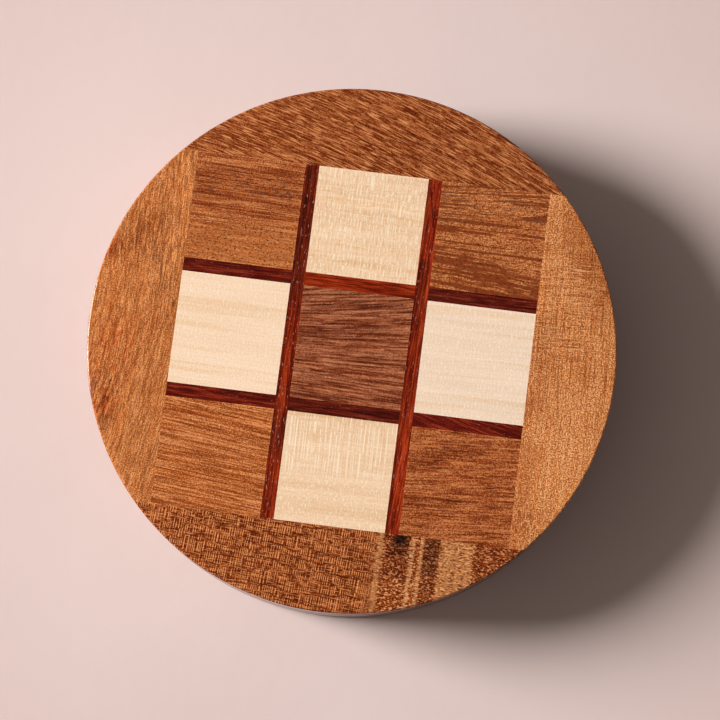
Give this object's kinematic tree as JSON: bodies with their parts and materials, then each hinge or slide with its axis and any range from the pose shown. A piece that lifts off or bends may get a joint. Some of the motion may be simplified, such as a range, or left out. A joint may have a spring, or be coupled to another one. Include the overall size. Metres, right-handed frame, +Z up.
{
  "type": "magnetic tic-tac-toe set",
  "caption": "Round wooden box with a swivel lid inlaid as a tic-tac-toe board; magnetic crosses and rings lie in pockets under the lid.",
  "frame": {"origin": "centre of the base's underside, on the surface that the box stands on", "axes": "+Z up, square to the board; +Y towards the lid's pivot at the back of the box; -Y towards the catch at the front"},
  "size_m": [0.1524, 0.1524, 0.0254],
  "materials": {
    "mahogany": "satin lacquer",
    "border_red_brown": "satin lacquer",
    "border_dark_brown": "satin lacquer",
    "border_golden_brown": "satin lacquer",
    "brown_tile": "satin lacquer",
    "walnut": "satin lacquer",
    "maple": "satin lacquer",
    "red_strip": "satin lacquer",
    "nickel": "nickel plated",
    "steel": "zinc plated",
    "brass": "turned"
  },
  "bodies": {
    "base": {"base_body": "mahogany", "base_catch_magnet": "nickel", "pivot_bush": "brass", "pivot_washer": "brass"},
    "lid": {"lid_backer": "mahogany", "field_discs": "steel", "lid_catch_magnet": "nickel", "threaded_insert": "brass", "pivot_screw": "steel", "screw_washer": "steel", "border_back": "border_red_brown", "border_front": "border_dark_brown", "border_left": "border_golden_brown", "border_right": "border_golden_brown", "tile_middle_middle": "walnut", "tile_front_left": "brown_tile", "tile_front_right": "brown_tile", "tile_back_left": "brown_tile", "tile_back_right": "brown_tile", "tile_front_middle": "maple", "tile_back_middle": "maple", "tile_middle_left": "maple", "tile_middle_right": "maple", "long_strip_left": "red_strip", "long_strip_right": "red_strip", "short_strip_front_left": "red_strip", "short_strip_front_middle": "red_strip", "short_strip_front_right": "red_strip", "short_strip_back_left": "red_strip", "short_strip_back_middle": "red_strip", "short_strip_back_right": "red_strip"},
    "cross_piece_1": {"cross_1": "walnut", "cross_magnet_1": "nickel"},
    "cross_piece_2": {"cross_2": "walnut", "cross_magnet_2": "nickel"},
    "cross_piece_3": {"cross_3": "walnut", "cross_magnet_3": "nickel"},
    "cross_piece_4": {"cross_4": "walnut", "cross_magnet_4": "nickel"},
    "cross_piece_5": {"cross_5": "walnut", "cross_magnet_5": "nickel"},
    "ring_piece_1": {"ring_1": "maple", "ring_magnets_1": "nickel"},
    "ring_piece_2": {"ring_2": "maple", "ring_magnets_2": "nickel"},
    "ring_piece_3": {"ring_3": "maple", "ring_magnets_3": "nickel"},
    "ring_piece_4": {"ring_4": "maple", "ring_magnets_4": "nickel"},
    "ring_piece_5": {"ring_5": "maple", "ring_magnets_5": "nickel"}
  },
  "joints": [
    {"name": "lid_swing", "type": "hinge", "parent": "base", "child": "lid", "pos_m": [0, 0.0632, 0.01585], "axis": [0, 0, 1], "continuous": true},
    {"name": "cross_lift_1", "type": "slide", "parent": "base", "child": "cross_piece_1", "axis": [0, 0, 1], "range_m": [0, 0.0044]},
    {"name": "cross_lift_2", "type": "slide", "parent": "base", "child": "cross_piece_2", "axis": [0, 0, 1], "range_m": [0, 0.0044]},
    {"name": "cross_lift_3", "type": "slide", "parent": "base", "child": "cross_piece_3", "axis": [0, 0, 1], "range_m": [0, 0.0044]},
    {"name": "cross_lift_4", "type": "slide", "parent": "base", "child": "cross_piece_4", "axis": [0, 0, 1], "range_m": [0, 0.0044]},
    {"name": "cross_lift_5", "type": "slide", "parent": "base", "child": "cross_piece_5", "axis": [0, 0, 1], "range_m": [0, 0.0044]},
    {"name": "ring_lift_1", "type": "slide", "parent": "base", "child": "ring_piece_1", "axis": [0, 0, 1], "range_m": [0, 0.0044]},
    {"name": "ring_lift_2", "type": "slide", "parent": "base", "child": "ring_piece_2", "axis": [0, 0, 1], "range_m": [0, 0.0044]},
    {"name": "ring_lift_3", "type": "slide", "parent": "base", "child": "ring_piece_3", "axis": [0, 0, 1], "range_m": [0, 0.0044]},
    {"name": "ring_lift_4", "type": "slide", "parent": "base", "child": "ring_piece_4", "axis": [0, 0, 1], "range_m": [0, 0.0044]},
    {"name": "ring_lift_5", "type": "slide", "parent": "base", "child": "ring_piece_5", "axis": [0, 0, 1], "range_m": [0, 0.0044]}
  ]
}
